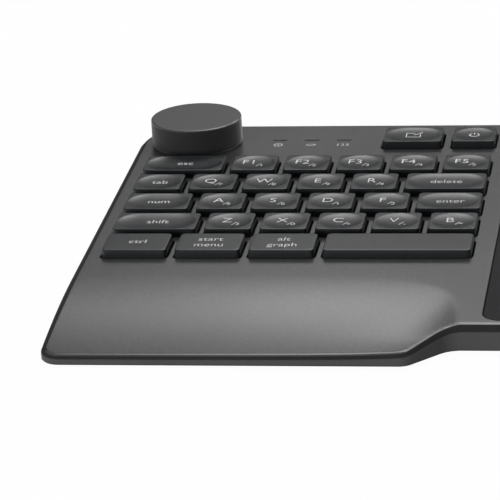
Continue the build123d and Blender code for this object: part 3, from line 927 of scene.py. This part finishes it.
def light_signs():
    """One sign under each status light: a ring with a dot, a battery and a number block."""
    return [stroke_mark(arc(ring_sign_radius, 0, 360, ring_sign_points), ring_sign_width),
            stroke_mark(ring_dot_path, ring_dot_width),
            stroke_mark(cell_path, cell_width, (light_pitch, 0)),
            stroke_mark(cell_tip_path, cell_tip_width, (light_pitch + cell_tip_x, 0)),
            word_mark("123", small_size, (2 * light_pitch, -digits_drop))]


print_marks("light_signs", light_signs(), (light_x, light_y - light_sign_drop), deck_level, "case", mark_paint)


# Dial

def make_dial():
    """Cup-shaped knob: a profile with rounded rims turned about its axis.

    The top, the side and the upper rim differ in finish; the side's colour is darker than the top's as painted
    shade.
    """
    low, high = node_box("dial_knob")
    centre = (low + high)[:2] / 2
    radius = (high - low)[0] / 2
    turn = np.linspace(0, quarter, dial_edge_points)
    inside = radius - dial_wall
    roof = high[2] - dial_roof
    radii = np.concatenate([[0, inside], [inside], radius - dial_round * (1 - np.sin(turn)),
                            radius - dial_round * (1 - np.cos(turn)), [radius - dial_flat_inset, 0]])
    heights = np.concatenate([[roof, roof], [low[2]], low[2] + dial_round * (1 - np.cos(turn)),
                              high[2] - dial_round * (1 - np.sin(turn)), [high[2], high[2]]])
    grid = stack_rings(radii[:, None, None] * unit_ring(dial_points) + centre, heights)
    points, faces = join_grids([grid])
    top_finish, side_finish, edge_finish = range(3)
    finishes = np.full(len(faces), side_finish)
    rows = finishes.reshape(-1, dial_points)
    top_rows, edge_rows = 2, dial_edge_points - 1
    rows[-top_rows - edge_rows:] = edge_finish
    rows[-top_rows:] = top_finish
    knob = put_mesh("dial_cap", points, faces, "dial", (dial_plastic, dial_side_shade_plastic, dial_edge_plastic),
                    finishes=finishes)
    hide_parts("dial_knob")


make_dial()


# Drawing pad, feet and screws

def make_pad():
    """Thin film with rounded corners and a softened edge, and a printed angle in each corner."""
    low, high = node_box("drawing_pad")
    centre = (low + high)[:2] / 2
    half = (high - low)[:2] / 2 - film_inset
    radius = pad_corner_radius - pad_gap - film_inset
    grid = rounded_plate(centre, half, radius, low[2], high[2], pad_edge_round, pad_points)
    points, faces = join_grids([grid])
    film = put_mesh("pad_film", points, faces, "case", (pad_film,))
    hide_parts("drawing_pad")
    marks = [stroke_mark([(0, -way_y * pad_mark_reach), (0, 0), (-way_x * pad_mark_reach, 0)], pad_mark_width,
                         (way_x * (half[0] - pad_mark_inset), way_y * (half[1] - pad_mark_inset)))
             for way_x in (-1, 1) for way_y in (-1, 1)]
    print_marks("pad_corners", marks, centre, lambda at: np.full(len(at), high[2]), "case", corner_paint)


def make_feet():
    """Four rubber strips with rounded ends and edges, one at each corner of the CAD feet's box."""
    low, high = node_box("rubber_feet")
    half = np.array([foot_length, foot_width]) / 2
    front_right = front_y + step_depth + foot_front_inset
    places = [(low[0] + half[0], low[1] + half[1]), (low[0] + half[0], high[1] - half[1]),
              (high[0] - half[0], front_right), (high[0] - half[0], high[1] - half[1])]
    grids = [rounded_plate(place, half, foot_corner_radius, 0, high[2], foot_edge_round, foot_points)
             for place in places]
    points, faces = join_grids(grids)
    feet = put_mesh("foot_pads", points, faces, "case", (foot_rubber,))
    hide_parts("rubber_feet")


def make_screws():
    """Eight pan-head screws: a fourth-power dome turned about its axis, with a cross pressed into it.

    The cross is deepest in the middle and runs out to nothing at its ends.
    """
    middle_x, middle_y = (left_x + right_x) / 2, (front_y + rear_y) / 2
    step_y = front_y + step_depth
    places = [(left_x + screw_spread, rear_y - screw_inset), (middle_x, rear_y - screw_inset),
              (right_x - screw_spread, rear_y - screw_inset), (left_x + screw_spread, front_y + screw_inset),
              (middle_x, step_y + screw_inset), (right_x - screw_spread, step_y + screw_inset),
              (left_x + screw_inset, middle_y), (right_x - screw_inset, middle_y)]
    share = np.linspace(1, tiny, screw_rings)[:, None]
    spots = screw_radius * share[..., None] * unit_ring(screw_points)
    along, across = np.abs(spots).max(axis=2), np.abs(spots).min(axis=2)
    cross = np.clip(1 - along / cross_length, 0, 1) * np.clip((cross_half - across) / cross_slope, 0, 1)
    face = floor_z - screw_height * (1 - share**screw_dome_power) + cross_depth * cross
    rings = np.concatenate([spots[-1:], spots[:1], spots])
    heights = np.concatenate([np.full((2, screw_points), floor_z + screw_seat), face])
    head = stack_rings(rings, heights)
    points, faces = join_grids([head + (*place, 0) for place in places])
    screws = put_mesh("case_screws", points, faces, "case", (screw_steel,), screw_sharp_angle)


make_pad()
make_feet()
make_screws()


# Studio: white floor, dim surround, softboxes behind and above, and matt cards in front and at the right

def make_floor():
    """Wide white floor: seen white by the camera and in reflections, with a faint shadow."""
    mesh = bpy.data.meshes.new("floor")
    corners = [(-floor_half, -floor_half, 0), (floor_half, -floor_half, 0),
               (floor_half, floor_half, 0), (-floor_half, floor_half, 0)]
    mesh.from_pydata(corners, [], [(0, 1, 2, 3)])
    floor = bpy.data.objects.new("floor", mesh)
    bpy.context.scene.collection.objects.link(floor)
    material = bpy.data.materials.new("floor_white")
    material.use_nodes = True
    nodes, links = material.node_tree.nodes, material.node_tree.links
    nodes.clear()
    path = nodes.new("ShaderNodeLightPath")
    matt = nodes.new("ShaderNodeBsdfDiffuse")
    matt.inputs["Color"].default_value = (floor_shade, floor_shade, floor_shade, 1)
    glow = nodes.new("ShaderNodeEmission")
    glow.inputs["Strength"].default_value = 1.0
    seen = nodes.new("ShaderNodeMath")
    seen.operation = "MAXIMUM"
    seen_too = nodes.new("ShaderNodeMath")
    seen_too.operation = "MAXIMUM"
    weight = nodes.new("ShaderNodeMath")
    weight.operation = "MULTIPLY"
    weight.inputs[1].default_value = floor_glow_share
    blend = nodes.new("ShaderNodeMixShader")
    output = nodes.new("ShaderNodeOutputMaterial")
    links.new(path.outputs["Is Camera Ray"], seen.inputs[0])
    links.new(path.outputs["Is Glossy Ray"], seen.inputs[1])
    links.new(seen.outputs[0], seen_too.inputs[0])
    links.new(path.outputs["Is Transmission Ray"], seen_too.inputs[1])
    links.new(seen_too.outputs[0], weight.inputs[0])
    links.new(weight.outputs[0], blend.inputs["Fac"])
    links.new(matt.outputs[0], blend.inputs[1])
    links.new(glow.outputs[0], blend.inputs[2])
    links.new(blend.outputs[0], output.inputs["Surface"])
    mesh.materials.append(material)


def make_surround():
    """Dim even surround behind the lamps."""
    world = bpy.data.worlds.new("studio")
    world.use_nodes = True
    bpy.context.scene.world = world
    world.node_tree.nodes["Background"].inputs["Color"].default_value = (1, 1, 1, 1)
    world.node_tree.nodes["Background"].inputs["Strength"].default_value = surround_level


def set_place(item, axes, place):
    """Put a lamp or camera at a place, with its own X, Y and Z axes along the given directions."""
    turned = np.stack(axes, axis=1)
    item.matrix_world = Matrix([(*row, at) for row, at in zip(turned, place)] + [(0, 0, 0, 1)])


def add_lamp(name, heading, rise, width, height, radiance, glossy):
    """Soft rectangular lamp aimed at the key block; the sheet's brightness is its radiance."""
    data = bpy.data.lights.new(name, "AREA")
    data.shape = "RECTANGLE"
    data.size = width
    data.size_y = height
    data.energy = radiance * np.pi * width * height
    lamp = bpy.data.objects.new(name, data)
    turn, lift = np.radians((heading, rise))
    back = np.array((np.sin(turn) * np.cos(lift), np.cos(turn) * np.cos(lift), np.sin(lift)))
    side = np.cross((0, 0, 1), back)
    side /= np.linalg.norm(side)
    set_place(lamp, (side, np.cross(back, side), back), np.array(lamp_target) + lamp_distance * back)
    lamp.visible_glossy = glossy
    bpy.context.scene.collection.objects.link(lamp)


def make_camera():
    """Camera in front and above, turned left, tipped down and slightly rolled."""
    turn, tip, roll = np.radians(camera_turns)
    ahead = np.array((-np.sin(turn) * np.cos(tip), np.cos(turn) * np.cos(tip), -np.sin(tip)))
    level = np.array((np.cos(turn), np.sin(turn), 0))
    upright = np.cross(level, ahead)
    right = level * np.cos(roll) + upright * np.sin(roll)
    up = upright * np.cos(roll) - level * np.sin(roll)
    data = bpy.data.cameras.new("camera")
    data.sensor_fit = "HORIZONTAL"
    data.sensor_width = camera_sensor
    data.lens = camera_lens
    camera = bpy.data.objects.new("camera", data)
    set_place(camera, (right, up, -ahead), np.array(camera_place) * MM)
    bpy.context.scene.collection.objects.link(camera)
    bpy.context.scene.camera = camera


make_floor()
make_surround()
for name, lamp in lamps.items():
    add_lamp(name, *lamp)
make_camera()
bpy.context.scene.view_settings.view_transform = "Standard"
